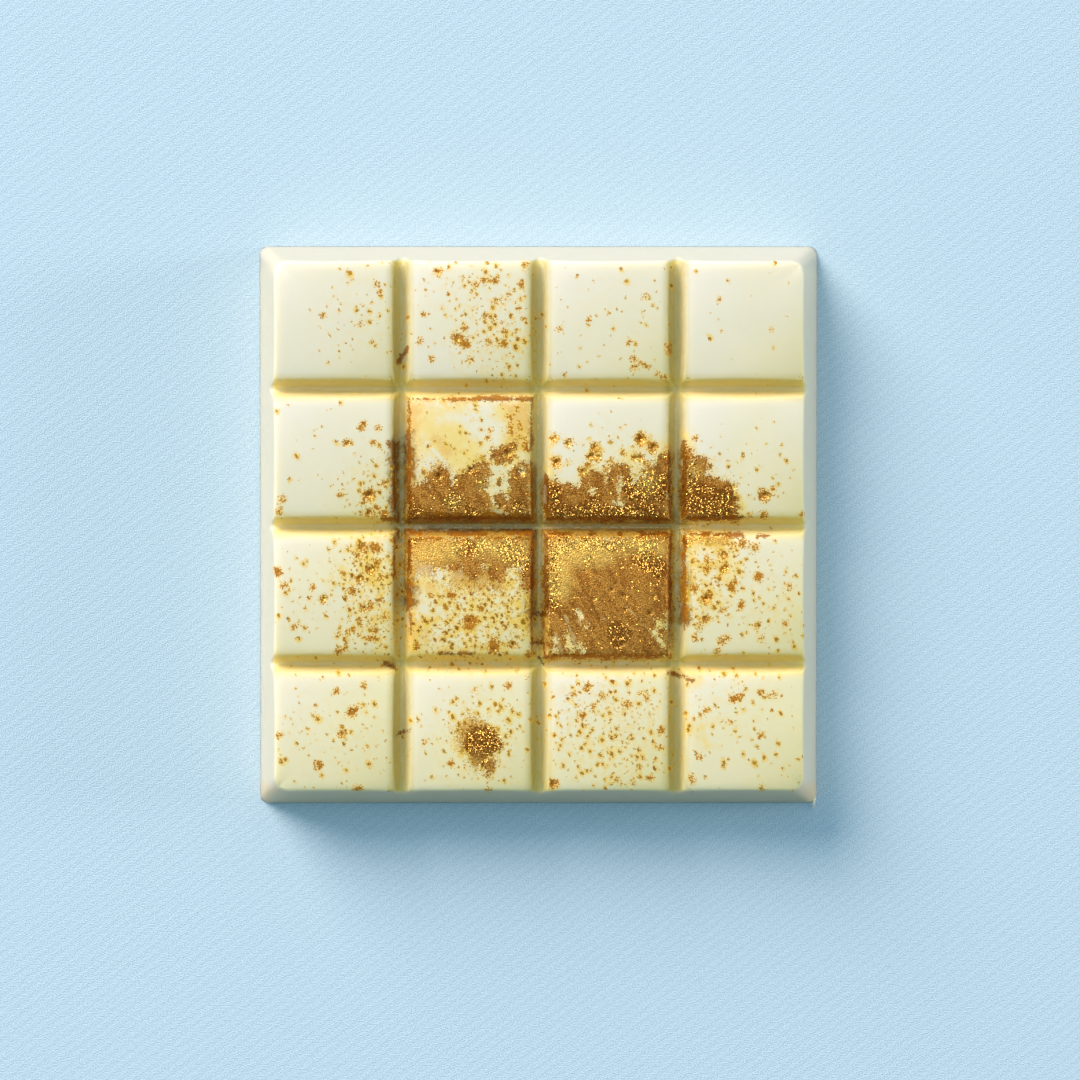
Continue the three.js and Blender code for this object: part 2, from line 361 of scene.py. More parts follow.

# Places where the dust is painted a paler gold, which also stands in for a painted highlight.
GOLD_AND_PAINTED_HIGHLIGHT = {
    (2, 2): [(2.1, -4.3, 0.6), (-2.7, -7.0, 0.8)],
    (2, 3): [(6.4, -4.0, 1.2)],
    (2, 4): [(-8.4, -2.0, 1.0)],
    (3, 2): [(-7.6, 6.6, -3.0, 7.6, 1.8), (2.0, 7.8, 8.0, 7.0, 1.6)],
    (3, 3): [(-7.4, 7.0, -1.0, 7.4, 2.6), (-7.6, 6.0, -7.8, 1.0, 2.0), (2.0, 8.2, 8.0, 7.6, 1.4)],
    (3, 4): [(-8.0, 8.8, -4.0, 8.8, 0.8)],
    (4, 2): [(1.2, -4.3, 0.5), (2.4, -3.9, 3.2, -3.7, 0.3)],
}

# Single blots of brown, larger than the scattered specks.
BLOTS = {
    (1, 1): [(7.0, 5.6, 0.3), (7.6, 4.4, 0.25), (4.4, -0.7, 0.3), (-1.6, 0.8, 0.3), (6.4, -3.7, 0.25)],
    (1, 2): [
        (-5.1, 7.5, 0.55), (-2.0, -2.9, 0.85), (-0.8, -3.9, 0.75), (5.2, -3.7, 0.6), (3.1, -3.4, 0.45),
        (-0.9, -1.5, 0.4), (1.0, 5.6, 0.4), (2.3, 6.2, 0.45), (4.0, 6.2, 0.55), (8.2, 5.6, 0.4),
        (8.7, 8.8, 0.45), (4.2, 3.0, 0.4), (6.1, 4.0, 0.3), (2.3, 0.6, 0.4), (3.9, 0.4, 0.3),
        (5.3, -1.8, 0.35), (7.7, 1.7, 0.3), (8.4, 0.1, 0.3), (-7.3, 0.9, 0.3), (-8.0, -3.4, 0.3),
        (-6.2, -6.3, 0.4), (0.0, -6.4, 0.3),
    ],
    (1, 3): [
        (6.0, 3.6, 0.35), (-3.1, 0.1, 0.35), (-7.6, -1.3, 0.35), (3.3, -3.6, 0.3), (4.3, -7.6, 0.5),
        (4.0, -6.1, 6.4, -7.6, 0.22), (7.8, -8.7, 0.4), (9.1, -9.2, 0.5), (9.6, -4.2, 9.6, -5.4, 0.4),
    ],
    (1, 4): [(-4.3, 3.2, 0.25), (4.0, -1.5, 0.25)],
    (2, 1): [
        (4.6, 4.7, 5.0, 5.3, 0.35), (7.3, 4.7, 0.4), (2.4, 2.3, 0.6), (6.4, 2.4, 0.3), (-8.0, -6.8, 0.45),
        (-8.5, -8.6, 0.5), (1.1, -5.9, 0.35), (5.9, -6.0, 0.95), (8.6, -4.0, 0.55), (5.7, -8.8, 0.75),
        (8.3, -9.2, 0.75), (7.0, -8.0, 0.35), (4.9, -7.2, 0.3),
    ],
    (2, 2): [
        (9.0, 3.4, 9.0, 1.5, 0.35), (6.0, 0.7, 0.95), (6.2, 6.6, 6.3, 5.6, 0.22),
        (6.6, 5.0, 6.5, 3.8, 0.25), (7.7, 5.6, 7.8, 4.4, 0.2), (8.0, 3.4, 0.22), (7.6, 8.0, 0.25),
        (2.7, 3.3, 0.2), (1.9, 4.4, 0.16), (3.2, 4.4, 0.14), (0.4, 6.1, 0.14),
    ],
    (2, 3): [
        (-8.7, 3.2, 0.6), (-6.3, 2.3, 0.6), (-8.2, -0.8, 0.75), (-2.0, 1.8, 0.6), (-2.8, 0.3, 0.65),
        (-1.6, 0.0, 0.6), (-1.8, 1.2, 0.4), (-4.0, -2.2, 0.75), (5.2, 2.9, 1.0), (7.2, 1.6, 0.85),
        (4.3, -0.1, 0.6), (5.3, -0.2, 0.6), (-0.5, -1.7, 0.45), (-6.4, -0.8, 0.35), (5.9, -0.9, 0.4),
        (-3.2, -1.0, 0.4), (0.4, -0.6, 0.35), (2.4, 0.6, 0.3),
    ],
    (2, 4): [
        (-2.0, -4.6, 0.5), (3.1, -6.0, 0.95), (4.4, -4.9, 0.35), (2.8, -9.2, 0.6), (0.5, -9.1, 0.3),
        (-8.1, 3.1, 0.3), (9.0, -9.1, 0.35),
    ],
    (3, 1): [
        (4.8, 7.8, 0.75), (6.8, 7.5, 0.75), (4.1, 6.5, 0.45), (7.0, 5.4, 0.45), (6.0, 4.1, 0.75),
        (4.4, 2.8, 0.75), (7.6, 2.7, 0.45), (3.0, 0.6, 0.6), (5.1, -2.1, 0.75), (6.0, -1.6, 0.35),
        (7.6, -0.8, 0.35), (8.4, -3.6, 0.45), (-1.5, -0.5, 0.6), (-3.1, 1.4, 0.3), (-7.7, 1.6, 0.45),
        (-8.9, 4.1, -8.7, 3.5, 0.45), (-6.1, -5.0, 0.45), (3.0, -5.6, 0.4), (4.3, -3.9, 0.35),
        (0.9, -6.1, 0.4), (1.9, -6.8, 0.35), (0.9, -9.0, 0.4), (2.0, -8.4, 0.35), (6.8, -5.5, 0.45),
        (5.7, -6.9, 0.35), (7.0, -7.1, 0.35),
    ],
    (3, 2): [
        (-0.1, -4.2, 1.2), (3.7, -7.7, 3.8, -8.6, 0.85), (6.8, -7.9, 0.6), (3.9, -9.2, 0.45),
        (9.2, -9.4, 0.6), (-8.4, -7.9, 0.4), (1.8, -2.0, 0.4), (-3.0, 0.0, 0.6), (-6.2, 0.1, 0.4),
        (-6.2, 6.2, 0.35), (-6.0, 4.3, 0.35),
    ],
    (3, 4): [
        (-8.8, 8.4, 0.5), (-6.2, 8.4, 0.5), (-2.2, 8.1, 0.6), (-0.4, 8.3, 0.6), (1.6, 7.6, 0.6),
        (-3.6, 6.5, 0.75), (-3.3, 4.4, 0.75), (-6.2, 5.9, 0.45), (-6.2, 4.1, 0.45), (2.0, 3.0, 0.6),
        (-4.4, 2.7, 0.4), (-1.7, 2.2, 0.4), (-2.2, 1.2, 0.55), (6.8, 1.6, 0.45), (-8.1, 1.1, 0.6),
        (-6.2, -0.5, 0.95), (-3.6, -2.4, 0.4), (-0.8, -1.2, -0.8, -2.0, 0.4), (-6.4, -3.7, 0.6),
        (-7.5, -5.0, 0.45), (1.8, -4.7, 0.45), (2.4, -6.9, 0.45), (-3.8, -7.4, 0.6), (-3.0, -6.9, 0.45),
        (-8.1, -6.8, 0.45), (-4.6, -9.0, 0.45), (6.3, -4.4, 0.35),
    ],
    (4, 1): [
        (3.0, 3.2, 0.75), (3.0, 3.2, 4.3, 4.4, 0.25), (1.6, 0.0, 0.7), (-2.3, -5.1, 0.55), (4.9, 7.6, 0.35),
        (0.6, 6.6, 0.4), (-8.5, -0.3, 0.4), (3.6, -8.9, 4.4, -8.9, 0.35),
    ],
    (4, 2): [(6.1, 7.6, 0.4), (0.7, 6.9, 0.3), (-3.0, -4.8, 0.45), (-7.5, -1.7, 0.3), (2.8, -9.1, 0.4)],
    (4, 3): [
        (-3.2, 7.4, 0.65), (-5.6, 6.0, 0.35), (3.0, 4.4, 0.5), (-4.2, 2.8, 0.55), (-2.3, 4.4, 0.35),
        (5.1, 6.2, 0.35), (6.2, 5.5, 0.35), (-1.0, 5.8, 0.35), (8.6, 0.4, 0.4), (3.8, -0.6, 0.4),
        (8.4, -2.5, 0.35), (5.1, -5.4, 0.35), (6.7, -7.2, 0.4), (1.4, -7.6, 0.35), (4.1, -8.0, 0.35),
        (-8.7, -8.3, 0.8),
    ],
    (4, 4): [
        (-2.1, 5.4, -1.3, 5.6, 0.45), (-1.3, 5.6, -0.3, 6.1, 0.2), (2.6, 6.4, 0.35), (3.8, 5.9, 0.35),
        (4.8, 6.3, 0.3), (-6.4, 3.4, 0.3), (-2.5, 1.6, 0.3), (2.4, -0.3, 0.3), (-7.3, -4.0, 0.35),
        (-8.8, -7.3, -8.4, -7.8, 0.35), (2.6, -8.9, 0.4),
    ],
}

# Thin dark lines along the edges of the dusty squares.
OUTLINE = {
    (2, 1): [(9.7, -3.2, 9.8, -9.6, 0.3)],
    (2, 2): [
        (-9.6, 9.4, -3.0, 9.3, 0.12), (-3.0, 9.3, 1.2, 9.4, 0.2), (1.2, 9.4, 5.3, 9.4, 0.42),
        (5.3, 9.4, 9.6, 9.3, 0.34), (-9.8, 9.4, -9.8, -2.0, 0.2), (-9.7, -2.0, -9.6, -9.6, 0.36),
        (9.8, 9.2, 9.7, 4.0, 0.1), (9.7, 3.6, 9.7, 1.4, 0.3), (9.8, -1.0, 9.8, -9.4, 0.2),
        (-7.0, -9.3, 9.4, -9.3, 0.6),
    ],
    (2, 3): [
        (-9.8, -3.0, -9.8, -9.6, 0.4), (9.8, 1.0, 9.8, -9.6, 0.2), (-9.6, -9.8, 9.6, -9.8, 0.24),
    ],
    (2, 4): [(-9.9, 2.6, -9.8, -9.4, 0.36), (-9.6, -9.8, -1.4, -9.8, 0.24)],
    (3, 1): [(9.8, 9.0, 9.8, 3.0, 0.16)],
    (3, 2): [
        (-9.8, 9.0, -9.7, -2.0, 0.36), (-9.7, -2.0, -9.4, -6.0, 0.2), (-9.4, 9.1, 9.6, 9.1, 0.14),
        (-9.4, 9.8, -8.0, 9.8, 0.3), (-3.4, 9.8, 2.4, 9.8, 0.3), (6.0, 9.8, 9.4, 9.8, 0.3),
        (9.8, 9.4, 9.8, 0.6, 0.3), (9.8, 0.6, 9.8, -9.0, 0.12), (-5.1, -9.3, 0.4, -9.3, 0.25),
    ],
    (3, 3): [
        (-9.9, 6.0, -9.9, -3.0, 0.34), (-9.4, 9.2, 9.6, 9.2, 0.1), (-9.0, 9.8, -6.2, 9.8, 0.3),
        (-2.8, 9.8, -1.8, 9.8, 0.3), (1.6, 9.8, 2.2, 9.8, 0.3), (5.4, 9.8, 9.6, 9.8, 0.3),
        (10.0, 9.4, 9.9, -2.0, 0.2), (9.8, -4.0, 9.6, -9.0, 0.2), (-9.0, -9.7, 9.4, -9.7, 0.24),
    ],
    (3, 4): [(-9.8, 9.4, -9.8, -4.0, 0.26), (-9.6, 9.7, -3.0, 9.7, 0.2)],
}

# Dents, and small chips at the corners of the squares.
PITS = {
    (1, 1): [(9.1, -9.3, 0.5), (8.8, 9.0, 0.4)],
    (1, 2): [(-5.1, 7.5, 0.5), (-2.0, -2.9, 0.6), (-9.1, -9.2, 0.5), (9.0, -9.2, 0.5)],
    (1, 3): [(4.3, -7.6, 0.4), (-9.0, -9.3, 0.5)],
    (1, 4): [(-9.2, -9.4, 0.5), (8.7, -9.2, 0.5)],
    (2, 1): [(2.4, 2.3, 0.6), (5.9, -6.0, 0.9), (8.6, -4.0, 0.5), (5.7, -8.8, 0.7), (-8.4, -9.3, 0.5)],
    (2, 2): [
        (-4.9, -3.0, 0.65), (-2.4, -3.5, 0.5), (-0.1, -2.2, 0.5, -1.6, 0.45), (6.0, 0.7, 0.85),
        (8.2, -2.4, 0.85), (8.2, -7.5, 0.5), (5.0, -7.8, 0.5),
    ],
    (2, 3): [
        (-8.7, 3.2, 0.6), (-6.3, 2.3, 0.6), (-8.2, -0.8, 0.75), (-2.0, 1.8, 0.6),
        (-3.0, 0.2, -1.5, 0.2, 0.45), (-4.0, -2.2, 0.6), (5.2, 2.9, 0.9), (7.2, 1.6, 0.75),
        (4.2, -0.1, 5.4, -0.1, 0.45),
    ],
    (2, 4): [(-2.0, -4.6, 0.6), (3.1, -6.0, 0.8)],
    (3, 1): [(4.8, 7.8, 0.7), (6.0, 4.1, 0.7), (4.4, 2.8, 0.6), (5.1, -2.1, 0.6), (-1.5, -0.5, 0.6)],
    (3, 2): [(-6.2, 6.2, 0.3), (-6.0, 4.3, 0.3), (-0.1, -4.2, 0.5), (3.8, -8.7, 0.5), (6.8, -7.9, 0.6)],
    (3, 3): [
        (0.6, 0.9, 0.5), (2.2, 0.2, 2.7, -0.2, 0.45), (-4.4, -3.1, 0.5), (2.8, -2.3, 0.45),
        (6.7, -2.9, 0.5), (-2.3, -0.7, 0.45), (7.3, -0.2, 0.45), (1.0, -6.8, 0.4), (2.8, -6.2, 0.4),
        (1.2, -8.3, 2.6, -7.8, 0.35),
    ],
    (3, 4): [(-3.6, 6.5, 0.6), (-3.3, 4.4, 0.6), (-6.2, -0.5, 0.7), (-6.4, -3.7, 0.5), (-2.2, 8.1, 0.5)],
    (4, 1): [(3.0, 3.2, 0.6), (1.6, 0.0, 0.6), (9.1, 9.2, 0.4), (8.9, -9.0, 0.5)],
    (4, 2): [(1.9, -4.1, 3.5, -3.5, 0.4), (8.8, 9.0, 0.5)],
    (4, 3): [(-3.2, 7.4, 0.6), (-8.7, -8.3, 0.7)],
    (4, 4): [(-8.9, -9.2, 0.5)],
}

# Brown that lies in the grooves. These strokes and the ones below are placed from the middle of the bar.
POOL = [
    (-21.8, 1.3, -1.2, 1.3, 1.5), (1.2, 1.3, 21.6, 1.3, 1.3), (-21.4, -1.3, -2.0, -1.3, 1.35),
    (1.6, -1.3, 20.6, -1.3, 1.35), (-20.8, 13.5, -20.8, 1.2, 0.85), (-23.1, 13.0, -23.1, 1.2, 0.6),
    (-20.8, -1.2, -20.8, -12.0, 1.0), (-1.3, 9.0, -1.3, 1.2, 0.6), (1.3, 7.0, 1.3, 1.2, 0.8),
    (-1.2, -1.2, -1.3, -15.0, 0.9), (1.3, -1.2, 1.2, -19.0, 0.7), (20.7, 6.0, 20.7, 1.2, 0.5),
    (23.2, 11.5, 23.2, 1.2, 0.9), (20.8, -1.2, 20.8, -18.0, 0.6), (23.2, -1.2, 23.2, -15.0, 0.6),
]

# Amber smudges in the grooves.
SMUDGES = [
    (24.6, 1.3, 27.4, 1.3, 0.5), (29.4, 1.4, 32.4, 1.4, 0.45), (26.2, -1.2, 27.4, -1.2, 0.35),
    (30.2, -1.3, 32.4, -1.4, 0.4), (35.0, -1.4, 36.6, -1.5, 0.3), (-25.0, 1.2, -23.0, 1.2, 0.4),
    (-21.0, 28.5, -22.6, 26.2, 0.3), (-22.8, -33.4, -20.6, -32.6, 0.25), (-1.4, -13.9, 1.2, -14.2, 0.3),
    (-1.2, -18.6, 1.4, -18.8, 0.3), (20.6, -23.4, 24.4, -24.6, 0.3), (-24.6, -22.0, -23.0, -22.8, 0.3),
    (0.0, -21.0, 0.6, -22.2, 0.3),
]

# Painted highlights: thin pale lines along the grooves' floor.
GROOVE_PAINTED_HIGHLIGHTS = [
    (-0.1, 21.0, -0.1, 1.0, 0.06), (22.0, 20.0, 22.0, 1.0, 0.06), (0.0, -2.0, 0.0, -13.0, 0.04),
    (-15.0, -0.3, 21.0, -0.3, 0.06), (0.95, 6.4, 0.95, 3.8, 0.2),
]

# How thick the fine specks are, as soft patches (x, y, radius, density), from the middle of the bar.
SPECKLE = [
    (-28.0, 34.0, 8.0, 0.30), (-7.5, 31.0, 7.5, 0.85), (-12.0, 38.0, 7.0, 0.35), (11.0, 33.0, 10.0, 0.16),
    (33.0, 33.0, 10.0, 0.05), (-26.0, 6.0, 7.0, 0.50), (-36.0, 12.0, 8.0, 0.10), (-11.0, 11.0, 9.0, 0.34),
    (11.0, 9.5, 7.0, 0.42), (28.0, 6.0, 7.0, 0.45), (37.0, 9.0, 8.0, 0.15), (-26.5, -8.0, 6.5, 1.80),
    (-26.5, -16.0, 5.0, 1.60), (-37.0, -11.0, 7.0, 0.30), (-8.0, -13.5, 8.5, 2.20),
    (-16.0, -17.5, 5.0, 1.80), (11.0, -11.0, 9.0, 0.30), (26.0, -8.0, 7.0, 1.40), (36.0, -12.0, 8.0, 0.50),
    (-33.0, -33.0, 11.0, 0.28), (-10.0, -33.5, 8.0, 0.75), (11.0, -32.0, 10.5, 0.85),
    (30.0, -28.5, 9.0, 0.40), (37.0, -37.0, 8.0, 0.18),
]

# The marks on the squares by the name of their layer: those whose edges wander, and the others.
SOFT_MARKS = {
    "dust": DUST,
    "thin": THIN_DUST,
    "stain": STAIN,
    "amber": AMBER,
    "gold_and_painted_highlight": GOLD_AND_PAINTED_HIGHLIGHT,
    "glitter": GLITTER,
}
SHARP_MARKS = {"scratch": SCRATCHES, "blot": BLOTS, "outline": OUTLINE}


def on_bar(marks):
    """The marks of all squares as strokes (x1, y1, x2, y2, radius) from the middle of the bar."""
    strokes = []
    for (row, column), placed in marks.items():
        dx, dy = square_centre(column - 1), -square_centre(row - 1)
        for mark in placed:
            x1, y1, x2, y2 = mark[:4] if len(mark) == 5 else mark[:2] * 2
            strokes.append((x1 + dx, y1 + dy, x2 + dx, y2 + dy, mark[-1]))
    return strokes


def depth_on_squares(marks, x, y):
    """How deep each point lies inside the marks of its own square."""
    deepest = np.full(x.shape, FAR_OUTSIDE)
    for (row, column), placed in marks.items():
        dx, dy = square_centre(column - 1), -square_centre(row - 1)
        within = MARK_LIMIT - np.maximum(np.abs(x - dx), np.abs(y - dy))
        inside = depth_inside(on_bar({(row, column): placed}), x, y)
        deepest = np.maximum(deepest, np.minimum(inside, within))
    return deepest


def depth_inside(strokes, x, y):
    """How deep each point lies inside the nearest stroke, and below zero outside them all."""
    deepest = np.full(x.shape, FAR_OUTSIDE)
    for x1, y1, x2, y2, radius in strokes:
        dx, dy = x2 - x1, y2 - y1
        along = np.clip(((x - x1) * dx + (y - y1) * dy) / max(dx * dx + dy * dy, 1e-9), 0, 1)
        distance = np.hypot(x - x1 - along * dx, y - y1 - along * dy)
        deepest = np.maximum(deepest, radius - distance)
    return deepest


def pit_depth(strokes, x, y):
    """How far the dents lower the surface."""
    deepest = np.zeros(x.shape)
    for stroke in strokes:
        radius = stroke[-1]
        share = np.clip(depth_inside([stroke], x, y) / radius, 0, 1)
        deepest = np.maximum(deepest, PIT_DEPTH * radius * share * share * (3 - 2 * share))
    return deepest


def painted_pit_side(side):
    """One painted side of each dent: -1 is the upper left, painted dark as shade, and 1 the lower right,
    painted bright as a highlight.
    """
    strokes = []
    for x1, y1, x2, y2, radius in on_bar(PITS):
        shift = side * PIT_PAINTED_SHIFT * radius
        strokes.append((x1 + shift, y1 - shift, x2 + shift, y2 - shift, PIT_PAINTED_SIDE * radius))
    return strokes


def speckle_density(x, y):
    """How thick the fine specks are at each point."""
    density = np.zeros(x.shape)
    for px, py, radius, amount in SPECKLE:
        density = np.maximum(density, amount * np.exp(-(((x - px) ** 2 + (y - py) ** 2) / radius**2) ** 1.5))
    return density


def waviness(x, y, z):
    """How far the waves lower the surface, which they leave straight near the back."""
    depth = sum(height * cloud(x, y, spacing, seed) for seed, (height, spacing) in enumerate(WAVES, 1))
    low, high = WAVES_FADE
    return depth * np.clip((z - low) / (high - low), 0, 1)


def mark_layers(x, y):
    """How deep each point lies inside the marks of each kind."""
    wander = MARK_WANDER * (cloud(x, y, MARK_WANDER_CELL, seed=3) - 0.5)
    layers = {}
    for name, marks in SOFT_MARKS.items():
        layers[name] = depth_on_squares(marks, x, y) + wander
    for name, marks in SHARP_MARKS.items():
        layers[name] = depth_on_squares(marks, x, y)
    covered = -depth_on_squares(BARE, x, y)
    for name in ("dust", "thin"):
        layers[name] = np.minimum(layers[name], covered)
    layers["outline"] = np.maximum(layers["outline"], depth_inside(SMUDGES, x, y))
    layers["pool"] = depth_inside(POOL, x, y) + wander
    # Painted highlight along the grooves
    layers["groove_painted_highlight"] = depth_inside(GROOVE_PAINTED_HIGHLIGHTS, x, y)
    # Painted shade on each dent's upper left and painted highlight on its lower right
    layers["pit_painted_shade"] = depth_inside(painted_pit_side(-1), x, y)
    layers["pit_painted_highlight"] = depth_inside(painted_pit_side(1), x, y)
    return layers


def tablet_surface():
    """The top and walls as a grid: x, y, z and the layers of colour, all in one shape."""
    stations = station_list()
    square, side, weight, offset, bow = stations.T
    centre = square_centre(square)
    reach = reach_at(square[:, None], side[:, None], bow[None, :])
    x = centre[:, None] + side[:, None] * (weight[:, None] * reach + offset[:, None])
    y = x.T.copy()
    u = np.clip((weight * side)[:, None] * np.ones_like(x) + np.where(offset > 0, side, 0)[:, None], -1, 1)
    on_top = crown_height(u, u.T)
    wall_x = wall_height(stations, x)
    z = smooth_min(on_top, smooth_min(wall_x, wall_x.T, CORNER_BLEND), BRIM_BLEND)
    outer_x = (SIDE / 2 - np.abs(x)) / wall_inset
    beside_groove = wall_x < outer_x - TOLERANCE
    groove_x = np.where(beside_groove, wall_x, 2 * HEIGHT)
    groove = np.minimum(groove_x, groove_x.T)

    x, y = round_corners(x, y)
    z = z - pit_depth(on_bar(PITS), x, y)
    z = np.clip(z - waviness(x, y, z), 0, None)

    side_share = np.clip((on_top - np.minimum(outer_x, outer_x.T)) / SIDE_FADE, 0, 1)
    layers = mark_layers(x, y)
    layers["specks"] = speckle_density(x, y) * (1 - side_share)
    layers["side"] = side_share
    layers["groove"] = np.clip((on_top - groove) / (on_top - floor_height), -0.5, 1)
    # Painted shade in the grooves, darker in the upright ones
    layers["painted_groove_shade"] = groove_painted_shade(-y)
    layers["painted_dark_groove_shade"] = groove_painted_shade(x)
    # Painted light: how far a point lies towards its square's lower right, for the painted highlight and
    # painted shade
    layers["lean"] = (x - centre[:, None] - y + centre[None, :]) / (2 * SQUARE_REACH)
    layers["drift"] = cloud(x, y, DRIFT_CELL, seed=4)
    return x, y, z, layers


def groove_painted_shade(place):
    """How strongly the golden painted shade lies in the grooves across one axis."""
    nearest = PITCH * np.clip(np.round(place / PITCH), -(LAST - 1) / 2, (LAST - 1) / 2)
    across = (place - nearest) / (GROOVE_MOUTH / 2)
    return np.interp(across, *zip(*GROOVE_PAINTED_SHADE))


def flash_surface():
    """The thread of flash: a flattened tube with a round end, which starts inside the corner."""
    points = []
    for k in range(FLASH_ALONG):
        share = k / (FLASH_ALONG - 1)
        narrow = math.sqrt(max(0.0, 1 - share**FLASH_BLUNTNESS)) * (1 - FLASH_TAPER * share) + FLASH_TIP
        sway = FLASH_SWAY * math.sin(FLASH_BEND * share)
        middle = Vector((sway, -FLASH_LENGTH * share, FLASH_THICKNESS / 2))
        width, thickness = FLASH_WIDTH / 2 * narrow, FLASH_THICKNESS / 2 * narrow
        for n in range(FLASH_AROUND):
            turn = 2 * math.pi * n / FLASH_AROUND
            points.append(middle + Vector((width * math.cos(turn), 0, thickness * math.sin(turn))))
    faces = []
    for k in range(FLASH_ALONG - 1):
        here, there = k * FLASH_AROUND, (k + 1) * FLASH_AROUND
        for n in range(FLASH_AROUND):
            after = (n + 1) % FLASH_AROUND
            faces.append((here + n, here + after, there + after, there + n))
    root_ring = tuple(range(FLASH_AROUND))
    tip_ring = tuple(range((FLASH_ALONG - 1) * FLASH_AROUND, FLASH_ALONG * FLASH_AROUND))
    faces += [root_ring[::-1], tip_ring]
    root = Matrix.Translation((*FLASH_ROOT, 0)) @ Matrix.Rotation(FLASH_TURN, 4, "Z")
    return [tuple(root @ point) for point in points], faces


def tablet_mesh():
    """The top and walls, the flat back as a fan from its middle, and the thread of flash."""
    x, y, z, layers = tablet_surface()
    count = len(x)
    points = np.stack([x.T.ravel(), y.T.ravel(), z.T.ravel()], axis=1)
    index = np.arange(len(points)).reshape(count, count)
    quads = np.stack([index[:-1, :-1], index[:-1, 1:], index[1:, 1:], index[1:, :-1]], axis=-1)
    top = quads.reshape(-1, 4).tolist()
    rim = np.concatenate([index[0, :-1], index[:-1, -1], index[-1, :0:-1], index[:0:-1, 0]]).tolist()
    hub = len(points)
    back = [(hub, rim[(k + 1) % len(rim)], rim[k]) for k in range(len(rim))]
    flash_points, flash_faces = flash_surface()
    flash = [tuple(hub + 1 + corner for corner in face) for face in flash_faces]
    vertices = np.concatenate([points, [(0, 0, 0)], flash_points]) * MM

    mesh = bpy.data.meshes.new("bar_dressed")
    mesh.from_pydata(vertices.tolist(), [], top + back + flash)
    smooth = np.ones(len(mesh.polygons), bool)
    smooth[len(top) : len(top) + len(back)] = False
    mesh.polygons.foreach_set("use_smooth", smooth)
    for name, values in layers.items():
        stored = mesh.attributes.new(name, "FLOAT", "POINT")
        full = np.full(len(vertices), 0.0 if name in LAYERS_NONE_BELOW else FAR_OUTSIDE)
        full[: len(points)] = values.T.ravel()
        stored.data.foreach_set("value", full)
    return mesh


def add_object(name, mesh, material):
    mesh.materials.append(material)
    made = bpy.data.objects.new(name, mesh)
    bpy.context.scene.collection.objects.link(made)
    return made


class Graph:
    """Builds a material's nodes. An input may be a number, a colour, or the output of another node."""

    def __init__(self, name):
        self.material = bpy.data.materials.new(name)
        self.material.use_nodes = True
        self.tree = self.material.node_tree
        self.tree.nodes.clear()

    def feed(self, socket, value):
        if isinstance(value, bpy.types.NodeSocket):
            self.tree.links.new(value, socket)
        else:
            socket.default_value = value

    def node(self, kind, inputs, **settings):
        made = self.tree.nodes.new("ShaderNode" + kind)
        for name, value in settings.items():
            setattr(made, name, value)
        for name, value in inputs.items():
            self.feed(made.inputs[name], value)
        return made

    def math(self, operation, *values):
        inputs = dict(enumerate(values))
        return self.node("Math", inputs, operation=operation).outputs[0]

    def times(self, first, second):
        return self.math("MULTIPLY", first, second)

    def most(self, first, second):
        return self.math("MAXIMUM", first, second)

    def sum(self, value, factor, more):
        """A value times a factor, plus more."""
        return self.math("MULTIPLY_ADD", value, factor, more)

    def vector(self, operation, inputs):
        return self.node("VectorMath", inputs, operation=operation).outputs[0]

    def ramp(self, value, low, high, to_low=0.0, to_high=1.0):
        inputs = {"Value": value, "From Min": low, "From Max": high, "To Min": to_low, "To Max": to_high}
        return self.node("MapRange", inputs, interpolation_type="SMOOTHSTEP").outputs[0]

    def mix(self, factor, first, second):
        made = self.node("Mix", {0: factor, 6: first, 7: second}, data_type="RGBA")
        return made.outputs[2]

    def blend(self, factor, first, second):
        return self.node("Mix", {0: factor, 2: first, 3: second}, data_type="FLOAT").outputs[0]

    def noise(self, place, scale, detail=2.0, roughness=0.5):
        inputs = {"Vector": place, "Scale": scale, "Detail": detail, "Roughness": roughness}
        return self.node("TexNoise", inputs).outputs[0]

    def cells(self, place, scale):
        inputs = {"Vector": place, "Scale": scale}
        return self.node("TexVoronoi", inputs, voronoi_dimensions="2D")

    def split(self, colour):
        return self.node("SeparateColor", {0: colour}).outputs

    def layer(self, name):
        return self.node("Attribute", {}, attribute_name=name).outputs["Fac"]

    def in_millimetres(self):
        middle_of_back = self.node("TexCoord", {}).outputs["Object"]
        return self.vector("SCALE", {0: middle_of_back, "Scale": 1 / MM})

    def bump(self, height, distance, strength):
        inputs = {"Height": height, "Distance": distance * MM, "Strength": strength}
        return self.node("Bump", inputs).outputs[0]

    def surface(self, inputs, **settings):
        shader = self.node("BsdfPrincipled", inputs, **settings)
        self.feed(self.node("OutputMaterial", {}).inputs[0], shader.outputs[0])
        return self.material


def colour(red, green, blue):
    return (red, green, blue, 1.0)


CREAM = colour(0.885, 0.80, 0.58)
CREAM_WARM = colour(0.905, 0.80, 0.475)
# Painted highlight and painted shade on each square's top
CREAM_PAINTED_HIGHLIGHT = colour(0.90, 0.84, 0.74)
CREAM_PAINTED_SHADE = colour(0.87, 0.72, 0.28)
SIDE_CHALK = colour(0.71, 0.65, 0.49)
SIDE_PAINTED_SHADE_LOW = colour(0.75, 0.59, 0.37)  # painted shade tint on the side towards -Y, away from the light
SIDE_PAINTED_SHADE_HIGH = colour(0.62, 0.58, 0.46)  # painted shade, darker, on the side towards +Y, which faces the light
SIDE_PAINTED_SHADE_FROM = (4.5, 2.5)  # in from the outline, where those two begin and are full
